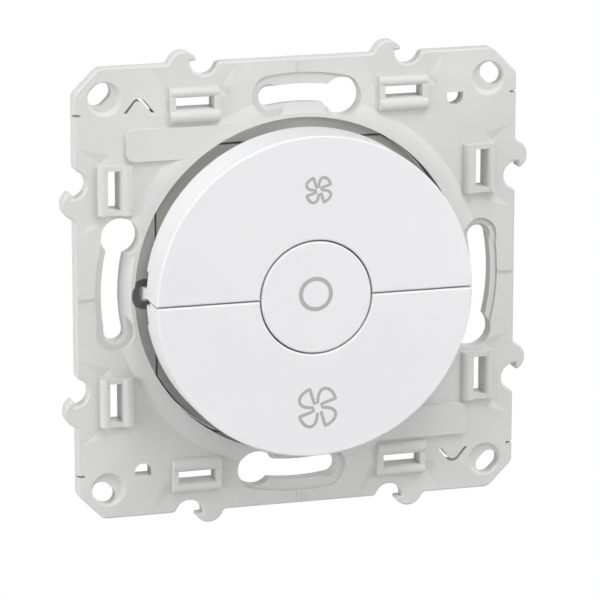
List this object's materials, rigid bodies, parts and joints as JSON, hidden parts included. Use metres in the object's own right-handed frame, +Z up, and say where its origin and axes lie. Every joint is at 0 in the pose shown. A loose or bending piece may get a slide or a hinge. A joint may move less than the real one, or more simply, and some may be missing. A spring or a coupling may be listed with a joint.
{
  "type": "fan speed control switch",
  "caption": "Flush wall control for a two-speed fan: a square mounting frame carries a round face of two half-disc speed keys about a centre stop button.",
  "frame": {"origin": "middle of the support frame's back face, where it meets the wall", "axes": "+X right as seen by the user, +Y into the wall, +Z up"},
  "size_m": [0.0748, 0.0366, 0.0748],
  "materials": {
    "frame_plastic": "satin",
    "key_plastic": "satin gloss",
    "housing_plastic": "matte",
    "plunger_plastic": "matte",
    "lever_plastic": "matte",
    "contact_brass": "bright",
    "spring_steel": "bright"
  },
  "bodies": {
    "housing": {"support_frame": "frame_plastic", "housing_cover": "housing_plastic", "housing_base": "housing_plastic", "live_contact": "contact_brass", "slow_contact": "contact_brass", "fast_contact": "contact_brass", "live_clamp": "spring_steel", "slow_clamp": "spring_steel", "fast_clamp": "spring_steel", "stop_spring": "spring_steel", "slow_spring": "spring_steel", "fast_spring": "spring_steel", "latch_spring": "spring_steel"},
    "upper_key": {"upper_key": "key_plastic"},
    "lower_key": {"lower_key": "key_plastic"},
    "stop_button": {"stop_button": "key_plastic"},
    "slow_plunger": {"slow_plunger": "plunger_plastic", "slow_bridge": "contact_brass"},
    "fast_plunger": {"fast_plunger": "plunger_plastic", "fast_bridge": "contact_brass"},
    "latch_plate": {"latch_plate": "spring_steel"},
    "live_release": {"live_release": "lever_plastic"},
    "slow_release": {"slow_release": "lever_plastic"},
    "fast_release": {"fast_release": "lever_plastic"}
  },
  "joints": [
    {"name": "upper_key_press", "type": "hinge", "parent": "housing", "child": "upper_key", "pos_m": [0, -0.0019, 0], "axis": [-1, 0, 0], "range_deg": [0, 4.5], "stiffness_Nm_per_rad": 0.08, "springref_deg": -11.46},
    {"name": "lower_key_press", "type": "hinge", "parent": "housing", "child": "lower_key", "pos_m": [0, -0.0019, 0], "axis": [1, 0, 0], "range_deg": [0, 4.5], "stiffness_Nm_per_rad": 0.08, "springref_deg": -11.46},
    {"name": "stop_press", "type": "slide", "parent": "housing", "child": "stop_button", "axis": [0, 1, 0], "range_m": [0, 0.002], "stiffness_N_per_m": 200, "springref_m": -0.004, "deforming": ["stop_spring"]},
    {"name": "slow_plunger_slide", "type": "slide", "parent": "housing", "child": "slow_plunger", "axis": [0, 1, 0], "range_m": [0, 0.0011], "deforming": ["slow_spring"]},
    {"name": "fast_plunger_slide", "type": "slide", "parent": "housing", "child": "fast_plunger", "axis": [0, 1, 0], "range_m": [0, 0.0011], "deforming": ["fast_spring"]},
    {"name": "latch_slide", "type": "slide", "parent": "housing", "child": "latch_plate", "axis": [1, 0, 0], "range_m": [0, 0.001], "deforming": ["latch_spring"]},
    {"name": "live_release_press", "type": "slide", "parent": "housing", "child": "live_release", "axis": [0, -1, 0], "range_m": [0, 0.001], "stiffness_N_per_m": 20, "springref_m": -0.005},
    {"name": "slow_release_press", "type": "slide", "parent": "housing", "child": "slow_release", "axis": [0, -1, 0], "range_m": [0, 0.001], "stiffness_N_per_m": 20, "springref_m": -0.005},
    {"name": "fast_release_press", "type": "slide", "parent": "housing", "child": "fast_release", "axis": [0, -1, 0], "range_m": [0, 0.001], "stiffness_N_per_m": 20, "springref_m": -0.005}
  ],
  "couplings": [
    {"joint": "slow_plunger_slide", "follows": "upper_key_press", "m_per_rad": 0.014},
    {"joint": "fast_plunger_slide", "follows": "lower_key_press", "m_per_rad": 0.014},
    {"joint": "latch_slide", "follows": "stop_press", "ratio": 0.5}
  ]
}
